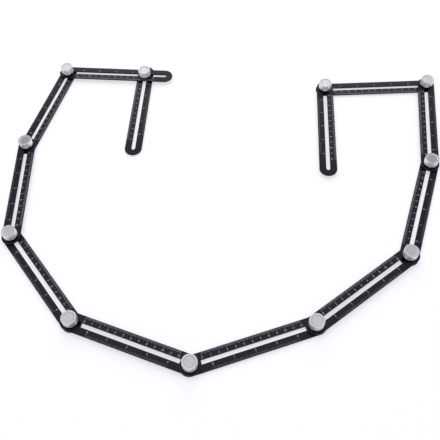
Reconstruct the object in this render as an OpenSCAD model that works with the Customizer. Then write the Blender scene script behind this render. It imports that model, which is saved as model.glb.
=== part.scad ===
// Multi-angle folding ruler: twelve slotted arms joined into a chain by eleven sliding clamps.
// Odd arms lie in the lower layer and even arms in the upper layer, so the ruler folds flat.
// Each clamp is a square-necked screw, a friction washer, a collar and a knurled knob.
// Sizes are in millimetres and angles in degrees.

/* [Arm] */
// Distance between the centres of the two round slot ends
slot_pitch = 153; // [130:0.5:250]
// Width of an arm
arm_w = 24; // [20:0.5:36]
// Thickness of an arm
arm_t = 2; // [1.5:0.1:4]
// Bevel along the outer edges of an arm
arm_bevel = 0.4; // [0.1:0.05:0.6]
// Play of the screw shank in a slot
slot_play = 0.4; // [0.2:0.05:0.8]

/* [Screw] */
// Diameter of the screw shank
screw_d = 5; // [4:0.5:6]
// Diameter of the screw head
head_d = 12; // [10:0.5:16]
// Height of the screw head
head_h = 1.8; // [1.4:0.1:3]
// Bevel around the lower rim of the head
head_bevel = 0.5; // [0.2:0.1:0.8]
// Play of the square neck between the slot walls
neck_play = 0.2; // [0.1:0.05:0.3]
// Diameter over the rounded neck corners, more than across the flats
neck_corner = 0.7; // [0.3:0.1:0.8]
// Gap between the top of the neck and the top of the lower arm
neck_gap = 0.2; // [0.1:0.05:0.6]
// Bevel at the tip of the shank
tip_bevel = 0.6; // [0.2:0.1:1]

/* [Washer and collar] */
// Outer diameter of the friction washer between two arms
washer_d = 16; // [12:0.5:20]
// Thickness of the friction washer
washer_t = 1; // [0.5:0.1:2]
// Outer diameter of the collar under a knob
collar_d = 16.6; // [12:0.2:18]
// Height of the collar
collar_t = 1.7; // [0.8:0.1:4]
// Bevel around the upper rim of the collar
collar_bevel = 0.3; // [0.1:0.05:0.4]
// Play of a washer or collar on the shank
washer_play = 0.2; // [0.1:0.05:0.4]
// Gap under a washer or collar, so that it slides clear of the print on an arm
print_gap = 0.02; // [0.02:0.01:0.2]

/* [Knob] */
// Diameter of a knob
knob_d = 18.2; // [15:0.2:22]
// Height of a knob
knob_h = 9.8; // [8:0.2:14]
// Bevel around the upper and lower rims of a knob
knob_bevel = 0.6; // [0.3:0.1:1]
// Width of the flat rim on top of a knob
rim_w = 1.2; // [0.6:0.1:2]
// Width of the sloping wall inside the rim
dish_slope = 1.3; // [0.6:0.1:2]
// Depth of the dished top
dish_depth = 1; // [0.4:0.1:1.6]
// Number of knurl grooves around a knob
knurl_count = 44; // [24:2:60]
// Width of one knurl groove
knurl_w = 0.8; // [0.4:0.05:1.1]
// Depth of one knurl groove
knurl_depth = 0.2; // [0.15:0.05:0.4]
// Plain band left above and below the knurl
knurl_margin = 1.5; // [1:0.1:2.5]
// Play of the knob's blind bore on the shank
bore_play = 0.1; // [0.05:0.05:0.3]
// Metal left between the blind bore and the dish
cap_t = 1.8; // [1:0.1:3]
// Gap between the shank tip and the end of the blind bore
tip_gap = 0.5; // [0.2:0.1:1]

/* [Chain] */
// Direction of the first arm, counter-clockwise from +X
first_heading = 84.5; // [60:0.1:110]
// Turn at knob 1
turn_1 = 88; // [60:0.1:120]
// Turn at knob 2
turn_2 = 80.2; // [50:0.1:110]
// Turn at knob 3
turn_3 = 17.3; // [-20:0.1:40]
// Turn at knob 4
turn_4 = 35.8; // [0:0.1:60]
// Turn at knob 5
turn_5 = 30.8; // [0:0.1:50]
// Turn at knob 6
turn_6 = 38.6; // [0:0.1:50]
// Turn at knob 7
turn_7 = 18.1; // [-10:0.1:40]
// Turn at knob 8
turn_8 = 33.6; // [0:0.1:60]
// Turn at knob 9
turn_9 = 11.8; // [-20:0.1:40]
// Turn at knob 10
turn_10 = 99.8; // [60:0.1:130]
// Turn at knob 11
turn_11 = 85.1; // [50:0.1:120]
// Distance of a knob from the slot end that it is pushed to
end_inset = 1; // [0.8:0.1:6]
// Distance of knob 1 from the slot end of arm 1
knob_1_on_arm_1 = 10; // [1:0.5:40]
// Distance of knob 1 from the slot end of arm 2
knob_1_on_arm_2 = 30.5; // [1:0.5:60]

/* [Hidden] */
$fn = 64;
arm_count = 12;
knob_count = arm_count - 1;
over = 1;

arm_color = [0.13, 0.13, 0.15];
knob_color = [0.80, 0.80, 0.82];
screw_color = [0.62, 0.62, 0.64];
nylon_color = [0.06, 0.06, 0.07];

slot_w = screw_d + slot_play;
neck_w = slot_w - neck_play;
washer_bore = screw_d + washer_play;
knob_bore = screw_d + bore_play;
bore_depth = knob_h - dish_depth - cap_t;

// Heights of the stack, from the surface that the heads rest on
lower_z = head_h;
washer_z = lower_z + arm_t + print_gap;
upper_z = washer_z + washer_t;
collar_z = upper_z + arm_t + print_gap;
knob_z = collar_z + collar_t;
tip_z = knob_z + bore_depth - tip_gap;

turns = [turn_1, turn_2, turn_3, turn_4, turn_5, turn_6, turn_7, turn_8, turn_9, turn_10, turn_11];

function two_digits(n) = str(n < 10 ? "0" : "", n);
function node_name(kind, n) = str(kind, "_", two_digits(n));
function is_upper(arm) = arm % 2 == 0;
function heading(arm) = arm == 1 ? first_heading : heading(arm - 1) + turns[arm - 2];
function along(angle) = [cos(angle), sin(angle)];

// Place of the knob before and after an arm, measured from the arm's first slot end
function first_knob_at(arm) = arm == 2 ? knob_1_on_arm_2 : end_inset;
function last_knob_at(arm) = slot_pitch - (arm == 1 ? knob_1_on_arm_1 : end_inset);

// First slot end of an arm and axis of a knob, in a plane that starts at arm 1
function chain_start(arm) = arm == 1
    ? [0, 0]
    : chain_knob(arm - 1) - first_knob_at(arm) * along(heading(arm));
function chain_knob(knob) = chain_start(knob) + last_knob_at(knob) * along(heading(knob));

slot_ends = [for (arm = [1 : arm_count]) for (d = [0, slot_pitch])
    chain_start(arm) + d * along(heading(arm))];
ends_x = [for (p = slot_ends) p.x];
ends_y = [for (p = slot_ends) p.y];
middle = [min(ends_x) + max(ends_x), min(ends_y) + max(ends_y)] / 2;

function arm_start(arm) = chain_start(arm) - middle;
function knob_axis(knob) = chain_knob(knob) - middle;
function lower_arm(knob) = is_upper(knob) ? knob + 1 : knob;

// Disc with a bevel around its lower and its upper rim
module bevelled_disc(d, h, lower, upper) {
    r = d / 2;
    rotate_extrude()
        polygon([[0, 0], [r - lower, 0], [r, lower], [r, h - upper], [r - upper, h], [0, h]]);
}

// Straight bar with bevelled edges along +X, without its round ends
module bevelled_bar(length, width, height, bevel) {
    side = width / 2;
    flat = side - bevel;
    rotate([90, 0, 90])
        linear_extrude(length)
            polygon([
                [-flat, 0], [flat, 0], [side, bevel], [side, height - bevel],
                [flat, height], [-flat, height], [-side, height - bevel], [-side, bevel]
            ]);
}

// Slot that runs through an arm from one end centre to the other
module slot_cut() {
    translate([0, -slot_w / 2, -over])
        cube([slot_pitch, slot_w, arm_t + 2 * over]);
    for (x = [0, slot_pitch])
        translate([x, 0, -over])
            cylinder(h = arm_t + 2 * over, d = slot_w);
}

// Arm along +X from its first slot end
module arm_bar() {
    difference() {
        union() {
            bevelled_bar(slot_pitch, arm_w, arm_t, arm_bevel);
            for (x = [0, slot_pitch])
                translate([x, 0, 0])
                    bevelled_disc(arm_w, arm_t, arm_bevel, arm_bevel);
        }
        slot_cut();
    }
}

module arm(n) {
    color(arm_color)
        translate([each arm_start(n), is_upper(n) ? upper_z : lower_z])
            rotate([0, 0, heading(n)])
                arm_bar();
}

module at_knob(n, z) {
    translate([each knob_axis(n), z])
        rotate([0, 0, heading(lower_arm(n))])
            children();
}

// Square neck with rounded corners, a little lower than the arm that it is keyed in
module screw_neck() {
    neck_h = arm_t - neck_gap;
    intersection() {
        translate([-neck_w / 2, -neck_w / 2, 0])
            cube([neck_w, neck_w, neck_h]);
        cylinder(h = neck_h, d = neck_w + neck_corner);
    }
}

module screw(n) {
    color(screw_color)
        at_knob(n, 0) {
            bevelled_disc(head_d, head_h, head_bevel, 0);
            translate([0, 0, head_h])
                screw_neck();
            translate([0, 0, head_h])
                bevelled_disc(screw_d, tip_z - head_h, 0, tip_bevel);
        }
}

module friction_washer(n) {
    color(nylon_color)
        at_knob(n, washer_z)
            difference() {
                cylinder(h = washer_t, d = washer_d);
                translate([0, 0, -over])
                    cylinder(h = washer_t + 2 * over, d = washer_bore);
            }
}

module collar(n) {
    color(nylon_color)
        at_knob(n, collar_z)
            difference() {
                bevelled_disc(collar_d, collar_t, 0, collar_bevel);
                translate([0, 0, -over])
                    cylinder(h = collar_t + 2 * over, d = washer_bore);
            }
}

// Turned knob body: bevelled rims, flat rim and dished top
module knob_blank() {
    r = knob_d / 2;
    rim = r - knob_bevel;
    rotate_extrude()
        polygon([
            [0, 0], [rim, 0], [r, knob_bevel], [r, knob_h - knob_bevel], [rim, knob_h],
            [rim - rim_w, knob_h], [rim - rim_w - dish_slope, knob_h - dish_depth],
            [0, knob_h - dish_depth]
        ]);
}

// Round grooves all around a knob
module knurl() {
    sunk = knob_d / 2 - knurl_depth;
    groove_r = (pow(knurl_w / 2, 2) + pow(knurl_depth, 2)) / (2 * knurl_depth);
    for (i = [0 : knurl_count - 1])
        rotate([0, 0, i * 360 / knurl_count])
            translate([sunk + groove_r, 0, knurl_margin])
                cylinder(h = knob_h - 2 * knurl_margin, r = groove_r);
}

module knob(n) {
    color(knob_color)
        at_knob(n, knob_z)
            difference() {
                knob_blank();
                knurl();
                translate([0, 0, -over])
                    cylinder(h = bore_depth + over, d = knob_bore);
            }
}

for (n = [1 : arm_count])
    arm(n);
for (n = [1 : knob_count])
    screw(n);
for (n = [1 : knob_count])
    friction_washer(n);
for (n = [1 : knob_count])
    collar(n);
for (n = [1 : knob_count])
    knob(n);
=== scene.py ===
"""Dresses the folding ruler: finishes for its solids, printed scales, a studio and a camera.

The solids keep their shapes. The printed scales are the only new pieces, one for each arm, and
each rides with its arm. Sizes are named in millimetres and become metres in Blender.
"""

import logging
import math
from abc import ABC, abstractmethod
from collections.abc import Sequence
from dataclasses import dataclass, field
from enum import Enum

import bmesh
import bpy
from mathutils import Matrix, Vector


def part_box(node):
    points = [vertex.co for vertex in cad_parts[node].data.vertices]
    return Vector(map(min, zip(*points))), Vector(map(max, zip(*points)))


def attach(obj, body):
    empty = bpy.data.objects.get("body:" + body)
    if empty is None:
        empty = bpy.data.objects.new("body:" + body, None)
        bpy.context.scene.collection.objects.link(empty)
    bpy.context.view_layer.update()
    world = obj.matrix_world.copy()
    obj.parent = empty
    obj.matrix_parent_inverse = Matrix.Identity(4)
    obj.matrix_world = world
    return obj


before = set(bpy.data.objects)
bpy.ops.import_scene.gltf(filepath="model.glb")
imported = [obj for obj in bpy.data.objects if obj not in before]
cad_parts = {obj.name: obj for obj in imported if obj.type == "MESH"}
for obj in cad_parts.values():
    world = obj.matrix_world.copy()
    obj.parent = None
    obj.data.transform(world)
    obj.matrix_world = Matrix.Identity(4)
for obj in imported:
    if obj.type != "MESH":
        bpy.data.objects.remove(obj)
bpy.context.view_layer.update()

LOG = logging.getLogger("folding_ruler")
ARM_COUNT = 12
KNOB_COUNT = ARM_COUNT - 1

# One millimetre in metres, and one inch in millimetres
MM = 0.001
INCH = 25.4

Colour = tuple[float, float, float]
Range = tuple[float, float]
Socket = bpy.types.NodeSocket

WHITE = (1.0, 1.0, 1.0, 1.0)

# Range of a share, from nothing to all
FULL: Range = (0.0, 1.0)
# Range of a sine
SINE: Range = (-1.0, 1.0)
# Range that holds most values of a noise
NOISE: Range = (0.3, 0.7)

# Numbers of the sockets of a node that mixes colours
MIX_FIRST, MIX_SECOND, MIX_RESULT = 6, 7, 2

# Metres between the slices of noise that two neighbouring pieces show
SLICE_STEP = 0.35


class Side(Enum):
    """Side of the slot that a scale is printed on, seen from above along the arm."""

    LEFT = 1
    RIGHT = -1


class Grain(Enum):
    """A kind of noise: waves for each metre along x, y and z, and the number of finer layers."""

    ROLLED = ((260.0, 7000.0, 7000.0), 3.0)
    DYE_CLOUDS = ((55.0, 90.0, 90.0), 4.0)
    SHEET_SCUFFS = ((380.0, 900.0, 900.0), 5.0)
    SPECKLE = ((4000.0, 4000.0, 4000.0), 3.0)
    SMEAR = ((160.0, 160.0, 160.0), 4.0)
    PLATED = ((4000.0, 4000.0, 4000.0), 2.0)
    BLOOM = ((420.0, 420.0, 420.0), 4.0)
    MOULDED = ((2500.0, 2500.0, 2500.0), 2.0)
    NYLON_SCUFFS = ((500.0, 500.0, 500.0), 4.0)
    INK_COVER = ((900.0, 900.0, 900.0), 3.0)


def node_name(kind: str, number: int) -> str:
    """Returns the name of a numbered node of the part."""
    return f"{kind}_{number:02d}"


class NodeSheet:
    """A tree of shader nodes, with short calls that add and join them."""

    def __init__(self, owner: bpy.types.Material | bpy.types.World) -> None:
        """Turns on the nodes of a material or of the surroundings.

        Args:
            owner: Material or surroundings that the nodes belong to.
        """
        owner.use_nodes = True
        self.tree = owner.node_tree

    def add(self, kind: str, **settings: object) -> bpy.types.Node:
        """Adds a node.

        Args:
            kind: Node type without its common prefix, such as "TexNoise".
            settings: Properties of the node.

        Returns:
            The new node.
        """
        node = self.tree.nodes.new(f"ShaderNode{kind}")
        for key, value in settings.items():
            setattr(node, key, value)
        return node

    def join(self, source: Socket, target: Socket) -> None:
        """Joins an output socket to an input socket."""
        self.tree.links.new(source, target)

    def place(self, origin: Vector, turn: float = 0.0) -> Socket:
        """Gives the position on the piece, measured from a point and along a direction.

        Args:
            origin: Point of the piece that becomes zero.
            turn: Direction of the new x axis, counter-clockwise from +X.

        Returns:
            The position's socket.
        """
        mapping = self.add("Mapping", vector_type="TEXTURE")
        mapping.inputs["Location"].default_value = origin
        mapping.inputs["Rotation"].default_value = (0.0, 0.0, turn)
        self.join(self.add("TexCoord").outputs["Object"], mapping.inputs["Vector"])
        return mapping.outputs["Vector"]

    def noise(self, position: Socket, grain: Grain) -> Socket:
        """Adds noise that may be drawn out along the axes.

        Args:
            position: Socket of the position.
            grain: Kind of noise.

        Returns:
            The noise value's socket.
        """
        waves, layers = grain.value
        stretch = self.add("VectorMath", operation="MULTIPLY")
        stretch.inputs[1].default_value = waves
        self.join(position, stretch.inputs[0])
        texture = self.add("TexNoise")
        texture.inputs["Scale"].default_value = 1.0
        texture.inputs["Detail"].default_value = layers
        self.join(stretch.outputs["Vector"], texture.inputs["Vector"])
        return texture.outputs["Fac"]

    def remap(self, value: Socket, source: Range, target: Range) -> Socket:
        """Turns one range of values into another and holds it there.

        Args:
            value: Socket of the value.
            source: Range that comes in.
            target: Range that goes out.

        Returns:
            The new value's socket.
        """
        node = self.add("MapRange", clamp=True)
        for name, number in zip(
            ("From Min", "From Max", "To Min", "To Max"), (*source, *target)
        ):
            node.inputs[name].default_value = number
        self.join(value, node.inputs["Value"])
        return node.outputs["Result"]

    def combine(
        self, operation: str, first: Socket, second: Socket | float | None = None
    ) -> Socket:
        """Works out one value from one or two others.

        Args:
            operation: Name of the math operation.
            first: Socket of the first value.
            second: Socket of the second value, or a number.

        Returns:
            The result's socket.
        """
        node = self.add("Math", operation=operation)
        self.join(first, node.inputs[0])
        if isinstance(second, float):
            node.inputs[1].default_value = second
        elif second is not None:
            self.join(second, node.inputs[1])
        return node.outputs["Value"]

    def blend(self, factor: Socket, first: Colour | Socket, second: Colour) -> Socket:
        """Blends two colours.

        Args:
            factor: Socket of the share of the second colour.
            first: Colour, or socket of a colour, where the factor is 0.
            second: Colour where the factor is 1.

        Returns:
            The colour's socket.
        """
        node = self.add("Mix", data_type="RGBA")
        self.join(factor, node.inputs[0])
        if isinstance(first, tuple):
            node.inputs[MIX_FIRST].default_value = (*first, 1.0)
        else:
            self.join(first, node.inputs[MIX_FIRST])
        node.inputs[MIX_SECOND].default_value = (*second, 1.0)
        return node.outputs[MIX_RESULT]

    def radius(self, position: Socket) -> Socket:
        """Gives how far a position lies from the upright line through zero.

        Args:
            position: Socket of the position.

        Returns:
            The distance's socket.
        """
        flat = self.add("VectorMath", operation="MULTIPLY")
        flat.inputs[1].default_value = (1.0, 1.0, 0.0)
        self.join(position, flat.inputs[0])
        length = self.add("VectorMath", operation="LENGTH")
        self.join(flat.outputs["Vector"], length.inputs[0])
        return length.outputs["Value"]

    def upward(self) -> Socket:
        """Gives how far the surface faces up.

        Returns:
            The value's socket, from -1 to 1.
        """
        parts = self.add("SeparateXYZ")
        self.join(self.add("TexCoord").outputs["Normal"], parts.inputs["Vector"])
        return parts.outputs["Z"]

    def tipped(self, upward: Socket, angle: float, spread: float) -> Socket:
        """Marks where the surface is tipped by an angle.

        Args:
            upward: Socket of how far the surface faces up.
            angle: Angle from level in degrees.
            spread: How far that value may be from the angle's own.

        Returns:
            A socket that is 1 there and 0 elsewhere.
        """
        node = self.add("Math", operation="COMPARE")
        self.join(upward, node.inputs[0])
        node.inputs[1].default_value = math.cos(math.radians(angle))
        node.inputs[2].default_value = spread
        return node.outputs["Value"]

    def seen(self) -> Socket:
        """Marks the rays that see the studio: those from the camera, from metal and from glass.

        Returns:
            A socket that is 1 for such a ray and 0 for the light that the studio gives.
        """
        path = self.add("LightPath")
        mark = path.outputs["Is Camera Ray"]
        for name in ("Is Glossy Ray", "Is Transmission Ray"):
            mark = self.combine("MAXIMUM", mark, path.outputs[name])
        return mark


class MaterialSheet(NodeSheet):
    """The nodes of one material, which feed one main shader."""

    def __init__(self, name: str) -> None:
        """Starts a material.

        Args:
            name: Name of the material.
        """
        self.material = bpy.data.materials.new(name)
        super().__init__(self.material)
        self.shader = self.tree.nodes["Principled BSDF"]

    def feed(self, name: str, value: Socket) -> None:
        """Joins a value to the shader's input of that name."""
        self.join(value, self.shader.inputs[name])

    def bump(self, height: Socket, depth: float, strength: float) -> None:
        """Roughens the shader's surface.

        Args:
            height: Socket of the height, from 0 to 1.
            depth: Depth of the relief in metres.
            strength: Share of that relief that shows.
        """
        node = self.add("Bump")
        node.inputs["Distance"].default_value = depth
        node.inputs["Strength"].default_value = strength
        self.join(height, node.inputs["Height"])
        self.feed("Normal", node.outputs["Normal"])


@dataclass(frozen=True)
class Finish(ABC):
    """A surface finish: its colour, its gloss and the nodes that give it life.

    Attributes:
        name: Start of the names of its materials.
        colour: Its main colour.
        rough: Range of its roughness.
        metallic: Share of it that reflects as metal.
        specular: Strength of its gloss.
    """

    name: str
    colour: Colour
    rough: Range
    metallic: float = 0.0
    specular: float = 0.5

    def material(self, label: str, origin: Vector, turn: float = 0.0) -> bpy.types.Material:
        """Makes the node material for one piece.

        Args:
            label: Name of the piece.
            origin: Middle of the finish's pattern.
            turn: Direction of that pattern, counter-clockwise from +X.

        Returns:
            The material.
        """
        sheet = MaterialSheet(f"{self.name}_{label}")
        sheet.shader.inputs["Metallic"].default_value = self.metallic
        sheet.shader.inputs["Specular IOR Level"].default_value = self.specular
        self.paint(sheet, sheet.place(origin, turn))
        return sheet.material

    @abstractmethod
    def paint(self, sheet: MaterialSheet, position: Socket) -> None:
        """Lays out the nodes of colour, gloss and relief.

        Args:
            sheet: Material under way.
            position: Socket of the position on the piece.
        """


@dataclass(frozen=True)
class AnodisedSheet(Finish):
    """Satin black anodised aluminium sheet, rubbed along its slot, with a painted highlight on its
    bevels.

    Attributes:
        cloudy: Colour where the dye is thinner.
        rubbed: Colour where the clamps have rubbed the sheet.
        bevel_highlight: Lighter colour on the bevels, a painted highlight.
        track: Half the width of the strip that the clamps rub.
        track_core: Share of that strip in which the rubbing is full.
        scuff_noise: Range of the noise that makes scuffs in the strip.
        scuff_share: How much of the rubbed colour they show.
        highlight_noise: Range of the noise that breaks the painted highlight on the bevels into
            patches.
        highlight_share: How much of that painted highlight shows there.
        bevel_angle: Angle of the bevels in degrees.
        bevel_spread: How exactly a face has to have that angle.
        grain_depth: Depth of the rolled grain.
        grain_strength: Share of that depth that shows.
    """

    cloudy: Colour = (0.0084, 0.0070, 0.0150)
    rubbed: Colour = (0.017, 0.0155, 0.023)
    bevel_highlight: Colour = (0.050, 0.050, 0.055)
    track: float = 8.3 * MM
    track_core: float = 0.8
    scuff_noise: Range = (0.52, 0.72)
    scuff_share: Range = (0.0, 0.55)
    highlight_noise: Range = (0.4, 0.65)
    highlight_share: Range = (0.15, 0.8)
    bevel_angle: float = 45.0
    bevel_spread: float = 0.2
    grain_depth: float = 0.01 * MM
    grain_strength: float = 0.35

    def paint(self, sheet: MaterialSheet, position: Socket) -> None:
        """Lays out rolled grain, clouds in the dye, a rubbed track and a painted highlight on the
        bevels.

        Args:
            sheet: Material under way.
            position: Socket of the position on the arm, with x along it.
        """
        grain = sheet.noise(position, Grain.ROLLED)
        clouds = sheet.noise(position, Grain.DYE_CLOUDS)
        scuffs = sheet.noise(position, Grain.SHEET_SCUFFS)

        parts = sheet.add("SeparateXYZ")
        sheet.join(position, parts.inputs["Vector"])
        aside = sheet.combine("ABSOLUTE", parts.outputs["Y"])
        in_track = sheet.remap(aside, (self.track, self.track_core * self.track), FULL)
        scuffed = sheet.remap(scuffs, self.scuff_noise, self.scuff_share)
        rub = sheet.combine("MULTIPLY", in_track, scuffed)

        # Painted highlight: the bevel faces get a lighter grey in patches of noise, standing in for
        # light along the edges
        level = sheet.combine("ABSOLUTE", sheet.upward())
        on_bevel = sheet.tipped(level, self.bevel_angle, self.bevel_spread)
        wear_and_sheen = sheet.remap(scuffs, self.highlight_noise, self.highlight_share)
        edge = sheet.combine("MULTIPLY", on_bevel, wear_and_sheen)

        dye = sheet.blend(sheet.remap(clouds, NOISE, FULL), self.colour, self.cloudy)
        dye = sheet.blend(rub, dye, self.rubbed)
        # The painted highlight on the bevels goes into the colour here
        dye = sheet.blend(edge, dye, self.bevel_highlight)
        sheet.feed("Base Color", dye)
        sheet.feed("Roughness", sheet.remap(grain, NOISE, self.rough))
        sheet.bump(grain, self.grain_depth, self.grain_strength)


@dataclass(frozen=True)
class TurnedMetal(Finish):
    """Silver metal from the lathe: satin sides, and a smoother rim and dish with fine rings, with
    painted light and shade in their colours.

    Attributes:
        rim: Colour of the flat rim, darker than the sides: painted shade that offsets the lamps
            that the top reflects.
        dish: Colour of the floor of the dish, darker again: partly the dish's own tone, partly
            painted shade as on the rim.
        wall: Colour of the slope round the dish, lighter than the rim: painted light that fills the
            shade in the slope.
        wall_angle: Angle of that slope in degrees.
        wall_spread: How exactly a face has to have that angle.
        top_facing: How far a face looks up where the top begins and where it is full.
        top_gloss: How much less rough the top is than the sides.
        turned: How far reflections are drawn out across the turning marks.
        dish_radius: Radius of the dish's colour, just inside the upper edge of the slope.
        dish_core: Share of that radius in which the colour is full.
        ring_pitch: Distance from one turning mark to the next.
        ring_depth: Depth of the turning marks.
        ring_strength: Share of that depth that shows.
    """

    rim: Colour = (0.36, 0.357, 0.378)
    dish: Colour = (0.30, 0.295, 0.33)
    wall: Colour = (0.51, 0.505, 0.53)
    wall_angle: float = 37.6
    wall_spread: float = 0.06
    top_facing: Range = (0.4, 0.9)
    top_gloss: float = 0.26
    turned: float = 0.4
    dish_radius: float = 7.2 * MM
    dish_core: float = 0.97
    ring_pitch: float = 0.24 * MM
    ring_depth: float = 0.012 * MM
    ring_strength: float = 0.4

    def paint(self, sheet: MaterialSheet, position: Socket) -> None:
        """Lays out turning rings, the top's painted shade and the painted light on the slope round
        the dish.

        Args:
            sheet: Material under way.
            position: Socket of the position on the knob, from its axis.
        """
        sheet.shader.inputs["Anisotropic"].default_value = self.turned
        tangent = sheet.add("Tangent", direction_type="RADIAL", axis="Z")
        sheet.feed("Tangent", tangent.outputs["Tangent"])

        radius = sheet.radius(position)
        angle = sheet.combine("MULTIPLY", radius, math.tau / self.ring_pitch)
        rings = sheet.remap(sheet.combine("SINE", angle), SINE, FULL)
        speckle = sheet.noise(position, Grain.SPECKLE)
        smear = sheet.noise(position, Grain.SMEAR)

        upward = sheet.upward()
        up = sheet.remap(upward, self.top_facing, FULL)
        core = self.dish_core * self.dish_radius
        inside = sheet.remap(radius, (self.dish_radius, core), FULL)
        in_dish = sheet.combine("MULTIPLY", up, inside)
        sloped = sheet.tipped(upward, self.wall_angle, self.wall_spread)
        on_wall = sheet.combine("MULTIPLY", sloped, inside)

        # Painted light and shade: the sides keep the near-white main colour, the rim and dish get
        # darker colours, and the slope round the dish gets a lighter one
        tone = sheet.blend(up, self.colour, self.rim)
        tone = sheet.blend(in_dish, tone, self.dish)
        tone = sheet.blend(on_wall, tone, self.wall)
        sheet.feed("Base Color", tone)

        satin = sheet.remap(smear, NOISE, self.rough)
        flat_top = sheet.combine("SUBTRACT", up, on_wall)
        smoother = sheet.combine("MULTIPLY", flat_top, -self.top_gloss)
        sheet.feed("Roughness", sheet.combine("ADD", satin, smoother))
        relief = sheet.combine("MULTIPLY", sheet.combine("ADD", rings, speckle), up)
        sheet.bump(relief, self.ring_depth, self.ring_strength)


@dataclass(frozen=True)
class PlatedSteel(Finish):
    """Bright zinc plated steel with a faint cloudy bloom.

    Attributes:
        bloom: Colour of the bloom.
        bloom_noise: Range of the noise that makes it.
        grain_depth: Depth of the plating's grain.
        grain_strength: Share of that depth that shows.
    """

    bloom: Colour = (0.48, 0.49, 0.52)
    bloom_noise: Range = (0.35, 0.65)
    grain_depth: float = 0.008 * MM
    grain_strength: float = 0.3

    def paint(self, sheet: MaterialSheet, position: Socket) -> None:
        """Lays out the bloom in the plating and its fine grain.

        Args:
            sheet: Material under way.
            position: Socket of the position on the screw.
        """
        clouds = sheet.noise(position, Grain.BLOOM)
        grain = sheet.noise(position, Grain.PLATED)
        bloom = sheet.remap(clouds, self.bloom_noise, FULL)
        sheet.feed("Base Color", sheet.blend(bloom, self.colour, self.bloom))
        sheet.feed("Roughness", sheet.remap(clouds, NOISE, self.rough))
        sheet.bump(grain, self.grain_depth, self.grain_strength)


@dataclass(frozen=True)
class BlackNylon(Finish):
    """Smooth black nylon with a fine moulded grain.

    Attributes:
        wear_and_sheen: Colour of the scuffs.
        scuff_noise: Range of the noise that makes them.
        grain_depth: Depth of the moulded grain.
        grain_strength: Share of that depth that shows.
    """

    wear_and_sheen: Colour = (0.014, 0.014, 0.016)
    scuff_noise: Range = (0.5, 0.75)
    grain_depth: float = 0.015 * MM
    grain_strength: float = 0.4

    def paint(self, sheet: MaterialSheet, position: Socket) -> None:
        """Lays out the moulded grain and faint scuffs.

        Args:
            sheet: Material under way.
            position: Socket of the position on the washer or collar.
        """
        grain = sheet.noise(position, Grain.MOULDED)
        scuffs = sheet.noise(position, Grain.NYLON_SCUFFS)
        scuffed = sheet.remap(scuffs, self.scuff_noise, FULL)
        sheet.feed("Base Color", sheet.blend(scuffed, self.colour, self.wear_and_sheen))
        sheet.feed("Roughness", sheet.remap(scuffs, NOISE, self.rough))
        sheet.bump(grain, self.grain_depth, self.grain_strength)


@dataclass(frozen=True)
class ScaleInk(Finish):
    """Pale grey print that is thinner in places.

    Attributes:
        thin: Colour where the print is thinner.
        cover_noise: Range of the noise that thins it.
    """

    thin: Colour = (0.38, 0.38, 0.40)
    cover_noise: Range = (0.35, 0.7)

    def paint(self, sheet: MaterialSheet, position: Socket) -> None:
        """Lays out the uneven cover of the print.

        Args:
            sheet: Material under way.
            position: Socket of the position on the print.
        """
        cover = sheet.noise(position, Grain.INK_COVER)
        thinned = sheet.remap(cover, self.cover_noise, FULL)
        sheet.feed("Base Color", sheet.blend(thinned, self.colour, self.thin))
        sheet.feed("Roughness", sheet.remap(cover, NOISE, self.rough))


BLACK_SHEET = AnodisedSheet(
    "black_anodised", (0.0058, 0.0046, 0.0118), (0.23, 0.33), specular=0.115
)
# The knob's near-white main colour, on its sides, is painted light that offsets the dark arms that
# the sides reflect
SILVER_KNOB = TurnedMetal("turned_silver", (0.945, 0.935, 0.985), (0.46, 0.38), metallic=0.75)
STEEL_SCREW = PlatedSteel("plated_steel", (0.60, 0.61, 0.63), (0.25, 0.38), metallic=1.0)
NYLON = BlackNylon("black_nylon", (0.008, 0.008, 0.009), (0.5, 0.65), specular=0.12)
PALE_INK = ScaleInk("scale_ink", (0.54, 0.53, 0.56), (0.5, 0.7), specular=0.2)


def own_slice(middle: Vector, number: int) -> Vector:
    """Lowers the origin of a pattern, so that each piece shows a slice of the noise of its own.

    Args:
        middle: Middle of the piece.
        number: Number of the piece.

    Returns:
        The lowered point.
    """
    return middle - Vector((0.0, 0.0, number * SLICE_STEP))


def coat(name: str, finish: Finish, origin: Vector, turn: float = 0.0) -> None:
    """Gives a solid of the part a finish.

    Args:
        name: Name of the solid's node.
        finish: Finish that it gets.
        origin: Middle of the finish's pattern.
        turn: Direction of that pattern, counter-clockwise from +X.
    """
    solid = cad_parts[name].data
    solid.materials.clear()
    solid.materials.append(finish.material(name, origin, turn))


def make_object(name: str, shape: bmesh.types.BMesh) -> bpy.types.Object:
    """Makes an object of the scene from a shape, and frees the shape.

    Args:
        name: Name of the object and of its mesh.
        shape: Shape in metres, in its place.

    Returns:
        The new object.
    """
    mesh = bpy.data.meshes.new(name)
    shape.to_mesh(mesh)
    shape.free()
    made = bpy.data.objects.new(name, mesh)
    bpy.context.scene.collection.objects.link(made)
    return made


@dataclass(frozen=True)
class Division:
    """How one side of an arm is divided, in millimetres.

    Attributes:
        side: Side of the slot that the scale is on.
        step: Distance between two neighbouring lines.
        count: Number of steps.
        lengths: Length of every so many lines, the largest interval first.
        width: Width of a line.
    """

    side: Side
    step: float
    count: int
    lengths: tuple[tuple[int, float], ...]
    width: float

    @property
    def numbered(self) -> int:
        """Number of steps from one numeral to the next."""
        return self.lengths[0][0]

    def along(self, line: int) -> float:
        """Returns the place of a line along the arm, from the arm's middle."""
        return (line - self.count / 2) * self.step

    def length(self, line: int) -> float:
        """Returns the length of a line."""
        return next(length for every, length in self.lengths if line % every == 0)


CENTIMETRES = Division(Side.LEFT, 1.0, 120, ((10, 4.2), (5, 3.4), (1, 2.4)), 0.16)
INCHES = Division(
    Side.RIGHT, INCH / 16, 64, ((16, 4.2), (8, 3.5), (4, 2.9), (2, 2.4), (1, 1.9)), 0.12
)


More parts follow.
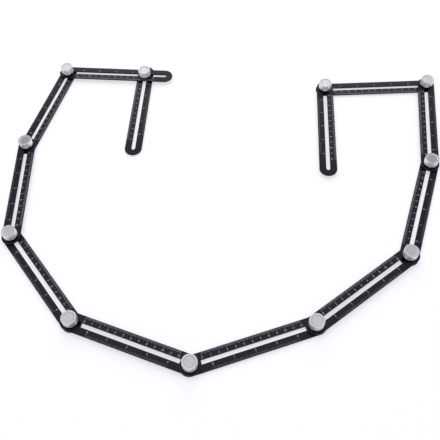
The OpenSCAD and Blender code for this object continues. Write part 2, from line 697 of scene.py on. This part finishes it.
@dataclass
class NumeralSet:
    """Plain numerals as thin solids, made once and copied to every arm.

    Attributes:
        height: Height of a numeral in millimetres.
        curve_steps: Number of straight pieces for each curve of an outline.
        half_depth: How far the type is drawn out to either side of its plane.
        weld: Distance within which two corners become one, as a share of the text size.
        meshes: Numerals made so far.
    """

    height: float = 2.5
    curve_steps: int = 5
    half_depth: float = 0.5
    weld: float = 0.0005
    meshes: dict[str, bpy.types.Mesh] = field(default_factory=dict)

    def mesh(self, text: str) -> bpy.types.Mesh:
        """Gives a numeral that is centred on the origin.

        Args:
            text: The numeral.

        Returns:
            A mesh in metres, from 0 to 1 high along z.
        """
        if text not in self.meshes:
            self.meshes[text] = self.cut(text)
        return self.meshes[text]

    def cut(self, text: str) -> bpy.types.Mesh:
        """Makes a numeral from the built-in plain type.

        Args:
            text: The numeral.

        Returns:
            The new mesh.
        """
        curve = bpy.data.curves.new(f"numeral_{text}", "FONT")
        curve.body = text
        curve.extrude = self.half_depth
        curve.resolution_u = self.curve_steps
        holder = bpy.data.objects.new(curve.name, curve)
        mesh = bpy.data.meshes.new_from_object(holder)
        bpy.data.objects.remove(holder)
        bpy.data.curves.remove(curve)
        self.close_seams(mesh)
        corners = [vertex.co for vertex in mesh.vertices]
        low = Vector(min(c[axis] for c in corners) for axis in range(3))
        high = Vector(max(c[axis] for c in corners) for axis in range(3))
        scale = self.height * MM / (high.y - low.y)
        middle = (low + high) / 2
        mesh.transform(
            Matrix.Diagonal((scale, scale, 1.0, 1.0))
            @ Matrix.Translation((-middle.x, -middle.y, -low.z))
        )
        return mesh

    def close_seams(self, mesh: bpy.types.Mesh) -> None:
        """Joins the faces and sides of a numeral into one closed shell that faces outwards.

        Args:
            mesh: Mesh of the numeral.
        """
        shell = bmesh.new()
        shell.from_mesh(mesh)
        bmesh.ops.remove_doubles(shell, verts=shell.verts, dist=self.weld)
        bmesh.ops.recalc_face_normals(shell, faces=shell.faces)
        shell.to_mesh(mesh)
        shell.free()


@dataclass(frozen=True)
class ArmPlace:
    """Where one arm lies, in metres.

    Attributes:
        number: Number of the arm.
        middle: Middle of the arm.
        heading: Direction of the arm, counter-clockwise from +X.
        top: Height of the arm's top face.
    """

    number: int
    middle: Vector
    heading: float
    top: float

    @classmethod
    def of_arm(cls, number: int, knobs: Sequence[Vector]) -> "ArmPlace":
        """Measures an arm of the frame, which runs from the knob before it to the knob after it.

        Args:
            number: Number of the arm.
            knobs: Middles of all knobs, in order.

        Returns:
            The arm's place.
        """
        low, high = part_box(node_name("arm", number))
        middle = (low + high) / 2
        start = knobs[number - 2] if number > 1 else middle
        end = knobs[number - 1] if number < ARM_COUNT else middle
        return cls(number, middle, math.atan2(end.y - start.y, end.x - start.x), high.z)

    def matrix(self) -> Matrix:
        """Returns the move from arm coordinates, x along it and z up from its top, to the frame."""
        lift = Matrix.Translation((self.middle.x, self.middle.y, self.top))
        return lift @ Matrix.Rotation(self.heading, 4, "Z")


@dataclass
class RulerArm:
    """One slotted arm and the two scales that are printed on it, in millimetres.

    Attributes:
        place: Where the arm lies.
        numerals: Numerals that the scales share.
        line_start: Distance from the centreline to the outer end of the lines.
        numeral_at: Distance from the centreline to the middle of the numerals.
        print_height: How far the print stands proud of the arm.
        print_foot: How far the print reaches into the arm.
    """

    place: ArmPlace
    numerals: NumeralSet
    line_start: float = 11.5
    numeral_at: float = 5.3
    print_height: float = 0.012
    print_foot: float = 0.02

    @property
    def pattern_origin(self) -> Vector:
        """Point that the patterns on the arm are measured from."""
        return own_slice(self.place.middle, self.place.number)

    def dress(self) -> None:
        """Gives the arm its black finish."""
        name = node_name("arm", self.place.number)
        coat(name, BLACK_SHEET, self.pattern_origin, self.place.heading)

    def print_scales(self) -> bpy.types.Object:
        """Makes the printed lines and numerals of the arm as one thin piece.

        Returns:
            The new piece, which rides with the arm.
        """
        marks = bmesh.new()
        for division in (CENTIMETRES, INCHES):
            for line in range(division.count + 1):
                self.add_line(marks, division, line)
                if line % division.numbered == 0:
                    self.add_numeral(marks, division, line)
        bmesh.ops.transform(marks, matrix=self.place.matrix(), verts=marks.verts)
        piece = make_object(node_name("scale", self.place.number), marks)
        ink = PALE_INK.material(piece.name, self.pattern_origin, self.place.heading)
        piece.data.materials.append(ink)
        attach(piece, node_name("arm", self.place.number))
        return piece

    def stand(self) -> Matrix:
        """Gives a shape from 0 to 1 high the height of the print.

        Returns:
            The move that does so.
        """
        height = (self.print_foot + self.print_height) * MM
        sink = Matrix.Translation((0.0, 0.0, -self.print_foot * MM))
        return sink @ Matrix.Diagonal((1.0, 1.0, height, 1.0))

    def add_line(self, marks: bmesh.types.BMesh, division: Division, line: int) -> None:
        """Adds one line of a scale, from the edge towards the slot.

        Args:
            marks: Shape of the print.
            division: Scale that the line belongs to.
            line: Number of the line.
        """
        length = division.length(line)
        aside = division.side.value * (self.line_start - length / 2)
        # A cube of size 1 is lifted by half of it, to stand from 0 to 1
        lift = Matrix.Translation((division.along(line) * MM, aside * MM, 0.5))
        bar = lift @ Matrix.Diagonal((division.width * MM, length * MM, 1.0, 1.0))
        bmesh.ops.create_cube(marks, size=1.0, matrix=self.stand() @ bar)

    def add_numeral(self, marks: bmesh.types.BMesh, division: Division, line: int) -> None:
        """Adds the numeral of a line, beside the slot.

        Args:
            marks: Shape of the print.
            division: Scale that the numeral belongs to.
            line: Number of the line.
        """
        kept = len(marks.verts)
        marks.from_mesh(self.numerals.mesh(str(line // division.numbered)))
        marks.verts.ensure_lookup_table()
        aside = division.side.value * self.numeral_at * MM
        shift = Matrix.Translation((division.along(line) * MM, aside, 0.0))
        bmesh.ops.transform(marks, matrix=self.stand() @ shift, verts=marks.verts[kept:])


@dataclass
class Clamp:
    """One sliding clamp: its screw, friction washer, collar and knob.

    Attributes:
        number: Number of the clamp.
        axis: A point on the axis of its screw.
    """

    number: int
    axis: Vector

    def dress(self) -> None:
        """Gives each of the clamp's solids its finish."""
        origin = own_slice(self.axis, self.number)
        for kind, finish in (
            ("screw", STEEL_SCREW),
            ("friction_washer", NYLON),
            ("collar", NYLON),
            ("knob", SILVER_KNOB),
        ):
            coat(node_name(kind, self.number), finish, origin)


@dataclass(frozen=True)
class Softbox:
    """A soft studio lamp.

    Attributes:
        name: Name of the lamp.
        place: Where it hangs, in metres from the middle of the ruler.
        size: Its width and height in metres.
        radiance: Brightness of its face.
    """

    name: str
    place: tuple[float, float, float]
    size: tuple[float, float]
    radiance: float

    def hang(self) -> None:
        """Hangs the lamp with its width along x and tips it to face the ruler's middle line."""
        lamp = bpy.data.lights.new(self.name, "AREA")
        lamp.shape = "RECTANGLE"
        lamp.size, lamp.size_y = self.size
        lamp.energy = self.radiance * math.pi * self.size[0] * self.size[1]
        holder = bpy.data.objects.new(self.name, lamp)
        _, along, height = self.place
        turn = Vector((0.0, -along, -height)).to_track_quat("-Z", "Y").to_matrix().to_4x4()
        holder.matrix_world = Matrix.Translation(self.place) @ turn
        bpy.context.scene.collection.objects.link(holder)


@dataclass
class Studio:
    """White floor and surroundings, soft lamps, and a camera that looks down at the ruler.

    Attributes:
        floor_side: Side of the square floor in metres.
        floor_drop: Depth of the floor under the screw heads, in millimetres.
        floor_glow: Share of the floor that shows plain white, the rest shows light and shade.
        glow_strength: Brightness of that plain white.
        far_strength: Brightness of the plain white far from the ruler.
        fade: Distances in metres between which the floor goes over to plain white alone.
        paper: Colour of the floor where it shows light and shade.
        world_light: Strength of the light from all round.
        lamps: The softboxes.
        eye_knob: Number of the knob that the camera's place is measured from.
        eye_from_knob: Place of the camera across and along the floor from it, in millimetres.
        eye_height: Height of the camera above the floor, in millimetres.
        tilt: Angle of the camera's view below the horizon, in degrees.
        roll: Turn of the camera about its view, in degrees.
        lens: Focal length in millimetres.
        sensor: Width of the picture in the camera, in millimetres.
    """

    floor_side: float = 12.0
    floor_drop: float = 0.1
    floor_glow: float = 0.4
    glow_strength: float = 1.47
    far_strength: float = 1.02
    fade: Range = (0.6, 1.5)
    paper: Colour = (0.84, 0.8, 0.97)
    world_light: float = 0.6
    lamps: tuple[Softbox, ...] = (
        Softbox("rear_softbox", (0.13, 1.8, 1.12), (1.94, 1.04), 2.04),
        Softbox("top_softbox", (-0.18, 0.48, 1.6), (2.0, 1.0), 1.1),
    )
    eye_knob: int = 6
    eye_from_knob: tuple[float, float] = (42.0, -208.4)
    eye_height: float = 626.7
    tilt: float = 57.36
    roll: float = -3.13
    lens: float = 46.75
    sensor: float = 36.0

    def set_up(self, knobs: Sequence[Vector]) -> None:
        """Builds the whole studio.

        Args:
            knobs: Middles of all knobs, in order.
        """
        scene = bpy.context.scene
        scene.view_settings.view_transform = "Standard"
        self.lay_floor()
        self.light_world(scene)
        for lamp in self.lamps:
            lamp.hang()
        self.aim_camera(scene, knobs[self.eye_knob - 1])

    def lay_floor(self) -> None:
        """Lays the white floor just under the screw heads."""
        shape = bmesh.new()
        bmesh.ops.create_grid(shape, x_segments=1, y_segments=1, size=self.floor_side / 2)
        bmesh.ops.translate(shape, vec=(0.0, 0.0, -self.floor_drop * MM), verts=shape.verts)
        floor = make_object("floor", shape)
        floor.data.materials.append(self.floor_material())

    def floor_material(self) -> bpy.types.Material:
        """Makes a white that keeps a soft shadow near the ruler and is plain far from it.

        Returns:
            The material.
        """
        material = bpy.data.materials.new("white_floor")
        sheet = NodeSheet(material)
        nodes = sheet.tree.nodes
        nodes.remove(nodes["Principled BSDF"])
        paper = sheet.add("BsdfDiffuse")
        paper.inputs["Color"].default_value = (*self.paper, 1.0)
        glow = sheet.add("Emission")
        glow.inputs["Color"].default_value = WHITE
        away = sheet.radius(sheet.place(Vector()))
        strength = sheet.remap(away, self.fade, (self.glow_strength, self.far_strength))
        sheet.join(strength, glow.inputs["Strength"])
        plain = sheet.remap(away, self.fade, (self.floor_glow, 1.0))
        share = sheet.combine("MULTIPLY", sheet.seen(), plain)
        mixed = sheet.add("MixShader")
        sheet.join(share, mixed.inputs[0])
        sheet.join(paper.outputs[0], mixed.inputs[1])
        sheet.join(glow.outputs[0], mixed.inputs[2])
        sheet.join(mixed.outputs[0], nodes["Material Output"].inputs["Surface"])
        return material

    def light_world(self, scene: bpy.types.Scene) -> None:
        """Makes the surroundings white to look at and gentler as a light.

        Args:
            scene: Scene that gets the surroundings.
        """
        world = bpy.data.worlds.new("white_room")
        sheet = NodeSheet(world)
        sky = sheet.tree.nodes["Background"]
        sky.inputs["Color"].default_value = WHITE
        strength = sheet.remap(sheet.seen(), FULL, (self.world_light, 1.0))
        sheet.join(strength, sky.inputs["Strength"])
        scene.world = world

    def aim_camera(self, scene: bpy.types.Scene, knob: Vector) -> None:
        """Puts the camera where the photograph was taken from.

        Args:
            scene: Scene that gets the camera.
            knob: Middle of the knob that the camera's place is measured from.
        """
        camera = bpy.data.objects.new("camera", bpy.data.cameras.new("camera"))
        camera.data.sensor_width = self.sensor
        camera.data.lens = self.lens
        across, along = self.eye_from_knob
        eye = Vector((knob.x + across * MM, knob.y + along * MM, self.eye_height * MM))
        # A camera that isn't turned looks straight down
        camera.matrix_world = (
            Matrix.Translation(eye)
            @ Matrix.Rotation(math.radians(90.0 - self.tilt), 4, "X")
            @ Matrix.Rotation(math.radians(self.roll), 4, "Z")
        )
        scene.collection.objects.link(camera)
        scene.camera = camera


def middle_of(name: str) -> Vector:
    """Returns the middle of a node's box."""
    low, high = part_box(name)
    return (low + high) / 2


def main() -> None:
    """Dresses the ruler arm by arm and clamp by clamp, then sets up the studio."""
    logging.basicConfig(level=logging.INFO, format="%(name)s: %(message)s")
    knobs = [middle_of(node_name("knob", number)) for number in range(1, KNOB_COUNT + 1)]
    numerals = NumeralSet()
    for number in range(1, ARM_COUNT + 1):
        arm = RulerArm(ArmPlace.of_arm(number, knobs), numerals)
        arm.dress()
        piece = arm.print_scales()
        LOG.info("%s has %d faces", piece.name, len(piece.data.polygons))
    for number, axis in enumerate(knobs, start=1):
        Clamp(number, axis).dress()
        LOG.info("clamp %d is dressed", number)
    Studio().set_up(knobs)


if __name__ == "__main__":
    main()
